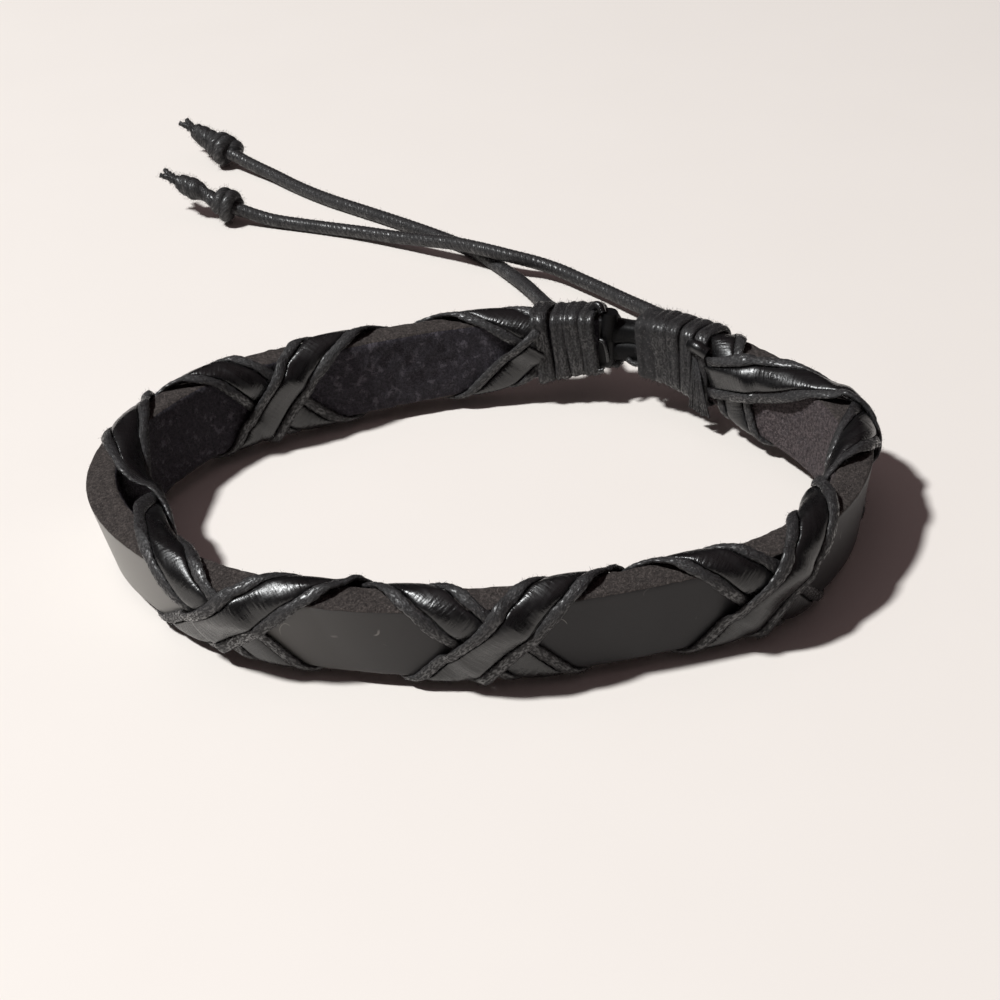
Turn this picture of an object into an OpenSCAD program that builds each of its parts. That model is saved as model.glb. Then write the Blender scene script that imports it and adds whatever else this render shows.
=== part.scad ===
// Leather bracelet: a thick strap bent into an open loop that lies on its edge, wound with
// two sets of strands (a waxed cord, a flat thong, a waxed cord) that cross each other,
// closed with closure cords and two cord bindings whose free ends trail behind.
// Millimetres, +Z up, the surface at z = 0, the closure at the back on the right.

/* [Strap] */
// Height of the leather strap, from cut edge to cut edge
strap_h = 8; // [7.6:0.1:8]
// Thickness of the leather
strap_t = 3; // [2.6:0.1:3]
// Bevel along the strap's four long edges
edge_bevel = 0.5; // [0.4:0.05:0.6]
// Overall width of the loop, measured over the strap
loop_w = 72.4; // [71:0.2:74]

/* [Strands] */
// Width of the waxed cords in both sets, which lie a little flattened
cord_w = 1.3; // [1.1:0.05:1.3]
// Thickness of the flattened cords
cord_t = 0.85; // [0.75:0.05:0.9]
// Width of the flat thongs
thong_w = 2.6; // [2.2:0.1:2.6]
// Thickness of the flat thongs
thong_t = 0.6; // [0.5:0.05:0.7]
// Space between neighbouring strands of a set
strand_space = 0.25; // [0.2:0.05:0.3]

/* [Closure] */
// Width of the cord in the bindings, which is pressed flat
binding_w = 1.6; // [1.4:0.05:1.6]
// Thickness of the cord in the bindings
binding_t = 0.95; // [0.85:0.05:1.1]
// Turns in the left binding
left_turns = 4; // [3:1:5]
// Turns in the right binding
right_turns = 5; // [4:1:5]
// Diameter of the two closure cords that bridge the strap's ends
closure_d = 2.2; // [1.8:0.1:2.4]
// Diameter of the free tails
tail_d = 1.6; // [1.4:0.1:1.6]
// Outer diameter of the knot near the end of each tail
knot_d = 4.4; // [4:0.1:4.6]

/* [Hidden] */

leather = "#3a3634";
glossy = "#161616";
waxed = "#262423";

// The loop's outer face from above, anticlockwise from the right end. Columns: angle in
// degrees, radius at the face's middle, flare (how far the top leans out, in degrees)
LOOP = [
    [0, 36.0, 8.5],
    [30, 31.2, 9.3],
    [60, 27.2, 6.9],
    [90, 26.0, 3.7],
    [120, 27.2, 3.1],
    [150, 33.0, 6.5],
    [180, 36.2, 11.4],
    [210, 31.9, 13.6],
    [240, 27.0, 11.6],
    [270, 25.3, 7.5],
    [300, 27.4, 5.0],
    [330, 33.7, 6.0],
];
table_w = 72.4;
loop_k = loop_w / table_w;
// Where the table's centre lies, so that the origin is under the middle of the whole
loop_centre = [-0.62, 0];
// Height of the strap's lower edge over the surface: the strands pass beneath it
strap_foot = 1.27;

// Where each set passes the strap's edges, as millimetres run along the loop. Columns: the
// over set, the under set. The over set is at the top edge in the first row and the under
// set at the bottom edge, and both change edge with every row
WRAPS = [
    [36, 31],
    [48.5, 46],
    [64, 64],
    [76, 77],
    [89.5, 91],
    [113, 115.5],
    [128.5, 128],
    [140, 140.5],
    [151.5, 152],
    [164.5, 165.5],
    [177.5, 177],
    [193, 193],
    [203, 210.5],
    [229, 217],
    [234, 230],
];
OVER = 0;
UNDER = 1;
// Lean of the strands' cross-sections, close to the mean slope of the windings
lay = 42;

// Clearances: strand to leather, strand to strand where they cross, end to end, what a
// slanting end needs besides, between the closure cords, between a tail and its knot
skin = 0.16;
cross_gap = 0.21;
end_gap = 0.15;
slant_gap = 0.1;
closure_gap = 0.1;
seat_gap = 0.05;

// Run along the loop at which the strap ends and each binding starts
strap_start = 33.1;
strap_end = 224.3;
left_binding_at = 34.3;
right_binding_at = 216.8;
turn_pitch = binding_w + 0.06;
// The bindings' turns lean: at the top edge they lie this much further along the loop than
// at half height, and at the bottom edge this much less far
turn_lean = 0.7;

// Towards the closure the strap narrows, rises off the surface and stands further out. In
// the middle of the closure: the share of its height that is lost, the rise, the shift
// outward, and the length over which all three fade
end_taper = 0.33;
end_rise = 1.4;
end_shift = 2.2;
end_reach = 13;

// Where the loop bends most tightly, at its left end, the strands don't follow the hollow
// inner face but run straight across it. How far they stand off halfway up the face, where,
// and the length over which that fades
bridge = 1.8;
bridge_at = 102;
bridge_reach = 9;

// Height over the leather at which the girth is measured
mean_lift = 0.6;
round_r = edge_bevel + mean_lift;
flat_t = strap_t / 2 - edge_bevel;
flat_h = strap_h - 2 * edge_bevel;
corner = 90 * PI / 180 * round_r;
half_girth = 2 * flat_t + 2 * corner + flat_h;
spacing = (thong_w + cord_w) / 2 + strand_space;
group_half = spacing + cord_w / 2;
// An over strand stays raised for this much beside the under set, and comes down over this
// much more
reach_spare = 0.3;
reach_share = 0.25;
lift_ramp = 1.3;
// Rings of a strand, for the over set and the under set: the longest run between two of
// them, and their marks on the flat faces, as shares of the height
LONGEST = [2.7, 4.2];
CORD_MARKS = [[0.12, 0.31, 0.5, 0.69, 0.88], [0.5]];
THONG_MARKS = [[0.15, 0.38, 0.62, 0.85], [0.15, 0.5, 0.85]];
// Least part of a half-turn from a strand's end to its next ring
end_part = 0.03;

// Routes of the free tails, from the binding to the knot, as points x, y, z
LEFT_TAIL = [
    [11.05, 27.45, 6.1], [10.85, 30.1, 5.4], [10.2, 32.9, 4.5], [9.1, 36.2, 3.5],
    [7.8, 39.6, 2.6], [6.6, 43.7, 1.9], [5.4, 47.6, 1.35], [3.8, 51.3, 1], [1.8, 55.1, 0.8],
    [-0.8, 58.9, 0.8], [-4.8, 63.1, 0.8], [-9.2, 67.2, 0.8], [-13.6, 71.1, 0.8],
    [-18, 75, 0.8], [-21.8, 79, 0.8], [-25.4, 83.1, 1], [-28.2, 85.7, 1.4],
    [-30.4, 87.6, 1.95],
];
RIGHT_TAIL = [
    [22.45, 22.75, 6.15], [23.2, 25.6, 5.5], [23.3, 28.6, 4.6], [22.8, 31.6, 3.6],
    [21.6, 34.5, 2.75], [20.1, 36.8, 2.1], [18.3, 39.5, 1.8], [16.4, 42.1, 1.6],
    [14.2, 45, 1.5], [11.9, 47.7, 1.5], [9.6, 50.2, 1.6], [7.1, 51.9, 1.9], [3.9, 53, 2.5],
    [0.9, 54.6, 2.75], [-2.2, 57, 2.5], [-5.5, 59.3, 2], [-9, 61.8, 1.4], [-13.8, 64.8, 1],
    [-19, 67.4, 0.8], [-24, 69.5, 0.9], [-26.4, 70.4, 1.3], [-28.4, 71.1, 1.85],
];
// Distance from the end of a tail to the middle of its knot
knot_reach = 2;
// Loose ends beyond the knots. Columns: heading, rise, length
LEFT_LOOSE = [138, 16, 6.5];
RIGHT_LOOSE = [151, 17, 8.5];

// A knot, as multiples of its cord: its core, the distance of its two rings from its
// middle, its frayed end, and how the rings are tilted, in degrees
core_k = 1.9;
ring_k = 0.42;
frayed = 1.35;
RING_TILT = [14, 8];

// Sides of the strands' cords, the bindings, the closure cords and the tails
cord_sides = 6;
binding_sides = 6;
closure_sides = 8;
tail_sides = 8;

function unit(v) = v / norm(v);
function smooth(x) = let (c = min(max(x, 0), 1)) c * c * (3 - 2 * c);

// Value of a column of LOOP at any angle, on a smooth closed curve through its rows
function around(column, angle) =
    let (n = len(LOOP),
         t = angle / 360 * n,
         i = floor(t),
         f = t - i,
         a = LOOP[(i - 1 + 2 * n) % n][column],
         b = LOOP[(i + 2 * n) % n][column],
         c = LOOP[(i + 1 + 2 * n) % n][column],
         d = LOOP[(i + 2 + 2 * n) % n][column])
    b + f / 2 * (c - a + f * (2 * a - 5 * b + 4 * c - d + f * (3 * (b - c) + d - a)));

function loop_point(angle) =
    loop_centre + loop_k * around(1, angle) * [cos(angle), sin(angle)];

// Run along the loop against angle, for looking up one from the other
loop_step = 2;
PLAN = [for (a = [0 : loop_step : 360]) loop_point(a)];
RUN = [
    for (i = 0, s = 0; i < len(PLAN); s = s + (i + 1 < len(PLAN) ? norm(PLAN[i + 1] - PLAN[i]) : 0),
         i = i + 1)
        s
];
loop_len = RUN[len(RUN) - 1];
ANGLE_AT = [for (i = [0 : len(RUN) - 1]) [RUN[i], i * loop_step]];
function angle_at(s) = lookup(s - loop_len * floor(s / loop_len), ANGLE_AT);

// A smooth hump, 1 in its middle
function hump(x) = exp(-x * x);
// The same along the loop, in the middle of the closure
closure_at = ((strap_start + strap_end) * loop_k - loop_len) / 2;
function near_closure(s) =
    let (away = s - closure_at)
    hump((away - loop_len * round(away / loop_len)) / end_reach);

// A point beside the strap: s along the loop, n outward from the middle of the leather,
// w up from its middle
function beside_strap(s, n, w) =
    let (a = angle_at(s),
         p = loop_point(a),
         along = unit(loop_point(a + 1) - loop_point(a - 1)),
         near = near_closure(s),
         f = around(2, a),
         depth = n - strap_t / 2,
         level = w * (1 - end_taper * near),
         out = end_shift * near + depth * cos(f) + level * sin(f),
         up = strap_foot + end_rise * near + (strap_h / 2 + level) * cos(f) - depth * sin(f))
    [p.x + along.y * out, p.y - along.x * out, up];

// Half of the strap's girth, from the middle of the top edge down the inner face to the
// middle of the bottom edge, at height h over the leather
function half_section(q, h) =
    let (r = edge_bevel + h,
         face = flat_t + corner,
         low = face + flat_h,
         t = 90 * (q - flat_t) / corner,
         b = 90 * (q - low) / corner)
    q < flat_t ? [-q, flat_h / 2 + r]
    : q < face ? [-flat_t - r * sin(t), flat_h / 2 + r * cos(t)]
    : q < low ? [-flat_t - r, flat_h / 2 - (q - face)]
    : q < low + corner ? [-flat_t - r * cos(b), -flat_h / 2 - r * sin(b)]
    : [q - half_girth, -flat_h / 2 - r];

// The whole girth: u runs round the section, past the inner face first
function on_leather(s, u, h) =
    let (v = u - 2 * half_girth * floor(u / (2 * half_girth)),
         q = v < half_girth ? half_section(v, h) : -half_section(v - half_girth, h))
    beside_strap(s, q.x, q.y);

// The two sets wind opposite ways: half-turns made against run along the loop
function run_table(set) = [for (i = [0 : len(WRAPS) - 1]) [i, WRAPS[i][set] * loop_k]];
function turn_table(set) = [for (i = [0 : len(WRAPS) - 1]) [WRAPS[i][set] * loop_k, i]];
RUN_OF = [run_table(OVER), run_table(UNDER)];
TURN_OF = [turn_table(OVER), turn_table(UNDER)];
function girth_at(turn, set) = set == OVER ? turn * half_girth : -(turn + 1) * half_girth;

// Distance, on the unrolled leather, from (s, u) to the middle of the under set
function from_under(s, u) = min([
    for (i = [0 : len(WRAPS) - 2])
        let (run = [(WRAPS[i + 1][UNDER] - WRAPS[i][UNDER]) * loop_k, -half_girth],
             start = [WRAPS[i][UNDER] * loop_k, girth_at(i, UNDER)],
             turns = round((u - start.y - run.y / 2) / (2 * half_girth)),
             point = [s, u - turns * 2 * half_girth] - start,
             part = min(max(point * run / (run * run), 0), 1))
        norm(point - part * run)
]);

// How far an over strand is raised at (s, u) to pass over the under set
function lift_at(s, u, half_w) =
    let (reach = group_half + reach_spare + reach_share * half_w)
    (cord_t + cross_gap) * smooth((reach + lift_ramp - from_under(s, u)) / lift_ramp);

// How far both sets stand off the hollow inner face at (s, u)
function stand_off(s, u) =
    let (v = u - 2 * half_girth * floor(u / (2 * half_girth)),
         part = min(max((v - flat_t) / (half_girth - 2 * flat_t), 0), 1))
    bridge * hump((s - bridge_at * loop_k) / bridge_reach) * pow(sin(180 * part), 2);

// Marks round half of the girth at which a strand has a ring: around both corners and
// between them
function ring_marks(between, middle) = [
    for (m = middle) m,
    for (c = [0, 0.5, 1]) flat_t + c * corner,
    for (b = between) flat_t + corner + b * flat_h,
    for (c = [0, 0.5, 1]) flat_t + corner + flat_h + c * corner,
];

// Turns with one more between two whose runs lie far apart
function in_short_runs(turns, set) = [
    turns[0],
    for (i = [1 : len(turns) - 1])
        let (run = lookup(turns[i], RUN_OF[set]) - lookup(turns[i - 1], RUN_OF[set]))
        each run > LONGEST[set] ? [(turns[i - 1] + turns[i]) / 2, turns[i]] : [turns[i]]
];

// The rings of a strand: its set, its distance from the middle of the set, its outline as
// points across and up, its run, and its marks
function strand(set, aside, outline, from, to, marks, half_w) =
    let (du = (set == OVER ? -1 : 1) * aside * cos(lay),
         ds = aside * sin(lay),
         sign = set == OVER ? 1 : -1,
         first = lookup(from - ds, TURN_OF[set]),
         last = lookup(to - ds, TURN_OF[set]),
         stops = [
             for (i = [0 : len(WRAPS) - 2])
                 for (m = marks)
                     let (t = i + (m - sign * du) / half_girth)
                     if (t > first + end_part && t < last - end_part) t
         ],
         turns = concat([first], stops, [last]))
    [
        for (t = in_short_runs(turns, set))
            let (s = lookup(t, RUN_OF[set]) + ds,
                 u = girth_at(t, set) + du,
                 lift = stand_off(s, u) + (set == OVER ? lift_at(s, u, half_w) : 0))
            [
                for (p = outline)
                    on_leather(s + p.x * sin(lay), u - sign * p.x * cos(lay), skin + lift + p.y)
            ]
    ];

function round_outline(w, t, sides) = [
    for (i = [0 : sides - 1]) let (a = -90 + 360 * i / sides) [w / 2 * cos(a), t / 2 * (1 + sin(a))]
];
thong_edge = 0.12;
thong_outline = [
    [-thong_w / 2, thong_edge], [0, 0], [thong_w / 2, thong_edge],
    [thong_w / 2 - thong_edge, thong_t], [0, thong_t], [-thong_w / 2 + thong_edge, thong_t],
];

function backwards(list) = [for (i = [len(list) - 1 : -1 : 0]) list[i]];

// A solid through rings of points, closed at both ends. Seen from its first ring, the
// points of a ring run clockwise, or anticlockwise where it is flipped
module skin_rings(rings, flipped = false) {
    n = len(rings[0]);
    last = len(rings) - 1;
    sides = [
        for (i = [0 : last - 1])
            for (j = [0 : n - 1])
                let (k = (j + 1) % n, a = i * n, b = a + n)
                each [[a + j, a + k, b + k], [a + j, b + k, b + j]]
    ];
    caps = [
        for (j = [1 : n - 2]) each [[0, j + 1, j], [last * n, last * n + j, last * n + j + 1]]
    ];
    faces = concat(sides, caps);
    polyhedron(points = [for (r = rings) each r], convexity = 12,
               faces = flipped ? [for (f = faces) backwards(f)] : faces);
}

strap_rings = 66;
strap_outline = [
    for (side = [1, -1])
        for (p = [
            [flat_t, -flat_h / 2 - edge_bevel], [flat_t + edge_bevel, -flat_h / 2],
            [flat_t + edge_bevel, flat_h / 2], [flat_t, flat_h / 2 + edge_bevel],
        ])
            side * p
];

module strap() {
    from = strap_start * loop_k;
    to = strap_end * loop_k;
    color(leather)
        skin_rings([
            for (i = [0 : strap_rings])
                let (s = from + (to - from) * i / strap_rings)
                [for (p = strap_outline) beside_strap(s, p.x, p.y)]
        ]);
}

// Both sets run between the two bindings
binding_half = turn_lean + binding_w / 2 + end_gap;
strands_from = left_binding_at * loop_k + left_turns * turn_pitch + binding_half;
strands_to = right_binding_at * loop_k - binding_half;

module wound_cord(set, side) {
    marks = ring_marks(CORD_MARKS[set], []);
    clear = cord_w / 2 * sin(lay) + slant_gap;
    color(waxed)
        skin_rings(strand(set, side * spacing, round_outline(cord_w, cord_t, cord_sides),
                          strands_from + clear, strands_to - clear, marks, cord_w / 2),
                   set == UNDER);
}

module wound_thong(set) {
    marks = ring_marks(THONG_MARKS[set], [0]);
    clear = thong_w / 2 * sin(lay) + slant_gap;
    color(glossy)
        skin_rings(strand(set, 0, thong_outline, strands_from + clear, strands_to - clear,
                          marks, thong_w / 2),
                   set == UNDER);
}

module under_thong() { wound_thong(UNDER); }
module under_cord_front() { wound_cord(UNDER, -1); }
module under_cord_back() { wound_cord(UNDER, 1); }
module over_thong() { wound_thong(OVER); }
module over_cord_front() { wound_cord(OVER, -1); }
module over_cord_back() { wound_cord(OVER, 1); }

// A binding: a flattened cord wound side by side round the end of the strap
module binding(from, turns) {
    marks = ring_marks([0.5], []);
    color(waxed)
        skin_rings([
            for (i = [0 : 2 * turns - 1])
                for (m = marks)
                    let (u = (i + 1) * half_girth + m,
                         run = turn_pitch * (i * half_girth + m) / (2 * half_girth),
                         s = from + run + turn_lean * cos(180 * u / half_girth))
                    [
                        for (p = round_outline(binding_w, binding_t, binding_sides))
                            on_leather(s + p.x, u, skin + p.y)
                    ]
        ]);
}

module left_binding() { binding(left_binding_at * loop_k, left_turns); }
module right_binding() { binding(right_binding_at * loop_k, right_turns); }

// A short cord from one end of the strap to the other, one above the other
closure_rings = 4;
closure_part = closure_d + closure_gap;
module closure_cord(level) {
    // The strap is narrower here and the cords are not
    kept = 1 - end_taper;
    from = strap_end * loop_k - loop_len + end_gap;
    to = strap_start * loop_k - end_gap;
    color(waxed)
        skin_rings([
            for (i = [0 : closure_rings])
                let (s = from + (to - from) * i / closure_rings)
                [
                    for (p = round_outline(closure_d, closure_d, closure_sides))
                        beside_strap(s, p.x, (p.y - closure_d / 2 + level * closure_part / 2) / kept)
                ]
        ]);
}

module closure_cord_upper() { closure_cord(1); }
module closure_cord_lower() { closure_cord(-1); }

// A tube swept along a route, its rings square to the way the route runs
module tail(route) {
    last = len(route) - 1;
    color(waxed)
        skin_rings([
            for (i = [0 : last])
                let (way = unit(route[min(i + 1, last)] - route[max(i - 1, 0)]),
                     across = unit(cross([0, 0, 1], way)),
                     up = cross(way, across))
                [
                    for (j = [0 : tail_sides - 1])
                        let (a = -360 * (j + 0.5) / tail_sides)
                        route[i] + tail_d / 2 * (cos(a) * across + sin(a) * up)
                ]
        ]);
}

module left_tail() { tail(LEFT_TAIL); }
module right_tail() { tail(RIGHT_TAIL); }

// A tight knot in line with the end of its tail: two tilted rings of cord round a core, with
// the cord running in on one side and its frayed loose end standing out on the other
module tail_knot(route, loose) {
    end = route[len(route) - 1];
    way = unit(end - route[len(route) - 2]);
    ring_r = (knot_d - tail_d) / 2;
    color(waxed)
        translate(end + knot_reach * way) {
            rotate([0, acos(way.z), atan2(way.y, way.x)]) {
                sphere(d = tail_d * core_k, $fn = 32);
                translate([0, 0, seat_gap - knot_reach])
                    cylinder(d = tail_d, h = knot_reach - seat_gap, $fn = 24);
                for (side = [1, -1])
                    translate([0, 0, side * tail_d * ring_k])
                        rotate([side * RING_TILT[0], RING_TILT[1], 0])
                            rotate_extrude($fn = 32)
                                translate([ring_r, 0]) circle(d = tail_d, $fn = 24);
            }
            rotate([0, 90 - loose[1], loose[0]])
                cylinder(d1 = tail_d, d2 = tail_d * frayed, h = loose[2], $fn = 24);
        }
}

module left_tail_knot() { tail_knot(LEFT_TAIL, LEFT_LOOSE); }
module right_tail_knot() { tail_knot(RIGHT_TAIL, RIGHT_LOOSE); }

strap();
under_thong();
under_cord_front();
under_cord_back();
over_thong();
over_cord_front();
over_cord_back();
left_binding();
right_binding();
closure_cord_upper();
closure_cord_lower();
left_tail();
right_tail();
left_tail_knot();
right_tail_knot();
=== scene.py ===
# %% [markdown]
# A layered leather bracelet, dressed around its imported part.
# The real thing is a thick leather strap bent into an open loop. Waxed cords and flat
# glossy thongs are wound round it both ways, cord bindings hold its ends together, and two
# knotted tails trail behind. Each piece is made from a few sizes and short tables, and
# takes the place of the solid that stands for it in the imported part.

import math

import bpy
import numpy as np
from mathutils import Matrix, Vector


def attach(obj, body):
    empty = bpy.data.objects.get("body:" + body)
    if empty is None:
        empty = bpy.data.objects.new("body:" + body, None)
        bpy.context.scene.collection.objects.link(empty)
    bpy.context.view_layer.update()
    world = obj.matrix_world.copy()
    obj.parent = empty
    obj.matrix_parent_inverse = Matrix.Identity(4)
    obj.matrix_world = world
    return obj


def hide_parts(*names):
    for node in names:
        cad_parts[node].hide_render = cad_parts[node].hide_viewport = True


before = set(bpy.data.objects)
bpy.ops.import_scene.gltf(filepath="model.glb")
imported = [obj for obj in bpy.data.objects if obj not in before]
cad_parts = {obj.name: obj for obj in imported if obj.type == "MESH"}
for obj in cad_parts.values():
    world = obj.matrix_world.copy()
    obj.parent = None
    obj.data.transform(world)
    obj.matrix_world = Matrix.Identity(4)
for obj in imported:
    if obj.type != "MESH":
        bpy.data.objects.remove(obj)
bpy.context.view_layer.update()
MM = 0.001
print("nodes:", ", ".join(sorted(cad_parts)))

# %% [markdown]
# The camera looks down at the bracelet from the front with a long lens, so that the far
# side looks hardly smaller than the near one. Its axes are worked out from its elevation
# and roll and put into one matrix, which is surer than turning it by one angle after another.

# %% Place the camera
ELEVATION = math.radians(32.9)
ROLL = math.radians(3.5)
DISTANCE = 0.2152
LENS, SENSOR, CLIP_START = 79.2, 36, 0.01
AIM = Vector((0.00101, 0.00476, 0.00023))


def add_object(name, data):
    made = bpy.data.objects.new(name, data)
    bpy.context.scene.collection.objects.link(made)
    return made


back = Vector((0, -math.cos(ELEVATION), math.sin(ELEVATION)))
side = Vector((1, 0, 0))
right = side * math.cos(ROLL) - back.cross(side) * math.sin(ROLL)
data = bpy.data.cameras.new("camera")
data.lens, data.sensor_width, data.clip_start = LENS, SENSOR, CLIP_START
camera = add_object("camera", data)
turn = Matrix((right, back.cross(right), back)).transposed().to_4x4()
camera.matrix_world = Matrix.Translation(AIM + back * DISTANCE) @ turn
bpy.context.scene.camera = camera
print("camera at", [round(x, 4) for x in camera.location])

# %% [markdown]
# Materials and geometry trees are both nodes joined by wires. Written out by hand they
# are long, so one small class wraps a socket and lets arithmetic add the Math nodes, and
# one method makes any other node from its type, its settings and its sockets.


# %% Wire nodes with plain arithmetic
def operator(operation, turned=False):
    """The method behind a sign such as +, which adds a Math node."""
    return lambda self, other: self.math(operation, other, turned)


class Value:
    """A socket that can be added, multiplied and so on."""

    def __init__(self, wiring, socket):
        self.wiring, self.socket = wiring, socket

    def math(self, operation, other=0.0, turned=False):
        pair = (other, self) if turned else (self, other)
        return self.wiring.node("ShaderNodeMath", {"operation": operation}, dict(enumerate(pair)))

    __add__, __radd__ = operator("ADD"), operator("ADD", True)
    __sub__, __rsub__ = operator("SUBTRACT"), operator("SUBTRACT", True)
    __mul__, __rmul__ = operator("MULTIPLY"), operator("MULTIPLY", True)
    __pow__, __rtruediv__ = operator("POWER"), operator("DIVIDE", True)


class Wiring:
    """Adds nodes to a tree and joins them."""

    def __init__(self, tree):
        self.tree = tree
        tree.nodes.clear()

    def node(self, kind, settings=None, sockets=None, out=0, **named):
        """Make a node. A keyword names a socket, with _ for a space, and its value is a
        number, a Value or a list of them. out says which output is wanted, or which ones."""
        made = self.tree.nodes.new(kind)
        for name, value in (settings or {}).items():
            setattr(made, name, value)
        named = {name.replace("_", " "): value for name, value in named.items()}
        for key, value in {**(sockets or {}), **named}.items():
            for one in value if isinstance(value, list) else [value]:
                if isinstance(one, Value):
                    self.tree.links.new(one.socket, made.inputs[key])
                else:
                    made.inputs[key].default_value = one
        if not made.outputs:
            return None
        if isinstance(out, tuple):
            return [Value(self, made.outputs[key]) for key in out]
        return Value(self, made.outputs[out])


print("wiring ready")

# %% [markdown]
# A material starts from where a point lies. Cords carry their own coordinates in an
# attribute called own, two across the cord and one along it, so that a pattern of fibres
# bends with the cord. A few short methods give the noises and blends of every finish.


# %% Make finishes from noise and blends
class Finish(Wiring):
    """A material with one principled shader."""

    def __init__(self, name):
        self.material = bpy.data.materials.new(name)
        self.material.use_nodes = True
        super().__init__(self.material.node_tree)

    def attribute(self, name, out="Fac"):
        return self.node("ShaderNodeAttribute", {"attribute_name": name}, out=out)

    def noise(self, scale, detail=3.0, rough=0.55, place=None):
        """Noise over Object coordinates, or over a place with a scale for each axis."""
        if place is None:
            place = self.node("ShaderNodeTexCoord", out="Object")
        else:
            settings = {"operation": "MULTIPLY"}
            place = self.node("ShaderNodeVectorMath", settings, {0: place, 1: scale})
            scale = 1.0
        kind = "ShaderNodeTexNoise"
        return self.node(kind, Vector=place, Scale=scale, Detail=detail, Roughness=rough)

    def step(self, value, low, high):
        settings = {"interpolation_type": "SMOOTHSTEP"}
        return self.node("ShaderNodeMapRange", settings, Value=value, From_Min=low, From_Max=high)

    def blend(self, mask, first, second):
        return self.node("ShaderNodeMix", {"data_type": "RGBA"}, {0: mask, 6: first, 7: second}, 2)

    def bump(self, height, distance, strength):
        return self.node("ShaderNodeBump", Strength=strength, Distance=distance, Height=height)

    def done(self, **sockets):
        shader = self.node("ShaderNodeBsdfPrincipled", **sockets)
        self.node("ShaderNodeOutputMaterial", Surface=shader)
        return self.material


def rgb(red, green, blue):
    return (red, green, blue, 1.0)


print("finishes ready")

# %% [markdown]
# Waxed cord is dull where its fibres stand up and glints where the wax is rubbed smooth.
# The fibres are a noise drawn out along the cord. The glints are spots of a second noise,
# stronger in patches, that drop the roughness and add a coat. Cord whose fuzz is high has
# lost its wax, and lint makes it paler.

# %% Finish the waxed cord
CORD_BLACKS = rgb(0.003, 0.0028, 0.0033), rgb(0.014, 0.0127, 0.0136)
LINT_GREY = rgb(0.082, 0.074, 0.074)
FIBRE_GREYS = rgb(0.012, 0.011, 0.0115), rgb(0.05, 0.044, 0.047)

f = Finish("waxed_cord")
own = f.attribute("own", "Vector")
fibres = f.noise((8000, 8000, 3000), 3.0, 0.6, own)
lint = f.noise(4200, 3.0, 0.7)
spots = f.step(f.noise((5200, 5200, 2600), 2.0, 0.5, own), 0.48, 0.56)
wax = spots * (0.5 + 0.5 * f.step(f.noise(520, 2.0, 0.6), 0.40, 0.58))
# In the cord this stands for wear only: where the fuzz is high the wax is gone.
worn = f.step(f.attribute("fuzz"), 1.0, 2.5)
dusty = f.step(lint, 0.50, 0.72) * (0.55 + 0.4 * worn)
colour = f.blend(dusty, f.blend(fibres, *CORD_BLACKS), LINT_GREY)
height = fibres * 0.9 + lint * 0.6
glint = wax * (1.0 - worn)
WAXED = f.done(
    Base_Color=colour,
    Roughness=0.72 - 0.44 * glint,
    Specular_IOR_Level=0.6,
    Coat_Weight=glint,
    Coat_Roughness=0.32,
    Normal=f.bump(height, 0.00013, 1.0),
)

f = Finish("loose_fibre")
FIBRE = f.done(Base_Color=f.blend(f.noise(900), *FIBRE_GREYS), Roughness=0.75)
print("finishes:", WAXED.name, FIBRE.name)

# %% [markdown]
# The strap and the strands are skins: rings of points, each ring joined to the next. A
# closed shell has to face outwards, so its signed volume is worked out, and the faces are
# turned round when it comes out negative.


# %% Build a skin through rings
def ring_faces(rings, around):
    first = np.arange(rings - 1)[:, None] * around
    here = np.arange(around)
    after = (here + 1) % around
    quads = [first + here, first + after, first + after + around, first + here + around]
    return np.stack(quads, -1).reshape(-1, 4)


def signed_volume(points, quads):
    a, b, c, d = (points[quads[:, k]] for k in range(4))
    halves = np.cross(a, b) * c + np.cross(a, c) * d
    return halves.sum() / 6


def own_places(across, up, along):
    """A piece's own coordinates for every point of its rings, in metres."""
    return np.stack(np.broadcast_arrays(across * MM, up * MM, along * MM), -1)


def skin(name, rings, material, **attributes):
    """A closed mesh from rings in millimetres, with point attributes of the same shape."""
    count, around, _ = rings.shape
    points = rings.reshape(-1, 3) * MM
    quads = ring_faces(count, around)
    turned = signed_volume(points, quads) < 0
    caps = [list(range(around))[::-1], list(range((count - 1) * around, count * around))]
    faces = quads.tolist() + caps
    if turned:
        faces = [f[::-1] for f in faces]
    mesh = bpy.data.meshes.new(name)
    mesh.from_pydata(points.tolist(), [], faces)
    mesh.polygons.foreach_set("use_smooth", [True] * len(mesh.polygons))
    for key, values in attributes.items():
        values = np.asarray(values, np.float32)
        kind, field = ("FLOAT_VECTOR", "vector") if values.ndim == 3 else ("FLOAT", "value")
        mesh.attributes.new(key, kind, "POINT").data.foreach_set(field, values.ravel())
    mesh.materials.append(material)
    return add_object(name, mesh)


print("skin ready")

# %% [markdown]
# A geometry tree does the same work for every cord. It sweeps a profile with one bulge
# for each ply along any path and turns it steadily by the curve's tilt, which is just how
# a rope is laid up. Its inputs are the cord's real sizes.


# %% Lay up a cord with a geometry tree
def new_tree(name, **inputs):
    tree = bpy.data.node_groups.new(name, "GeometryNodeTree")
    socket = tree.interface.new_socket
    socket("Geometry", in_out="OUTPUT", socket_type="NodeSocketGeometry")
    for key, kind in {"Geometry": "Geometry", **inputs}.items():
        socket(key, in_out="INPUT", socket_type="NodeSocket" + kind)
    wiring = Wiring(tree)
    start = tree.nodes.new("NodeGroupInput")
    return wiring, {s.name: Value(wiring, s) for s in start.outputs if s.name}


def end_tree(wiring, geometry, material=None):
    geometry = wiring.node("GeometryNodeRealizeInstances", Geometry=geometry)
    if material is not None:
        geometry = wiring.node("GeometryNodeSetMaterial", Geometry=geometry, Material=material)
    wiring.node("NodeGroupOutput", Geometry=geometry)
    return wiring.tree


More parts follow.
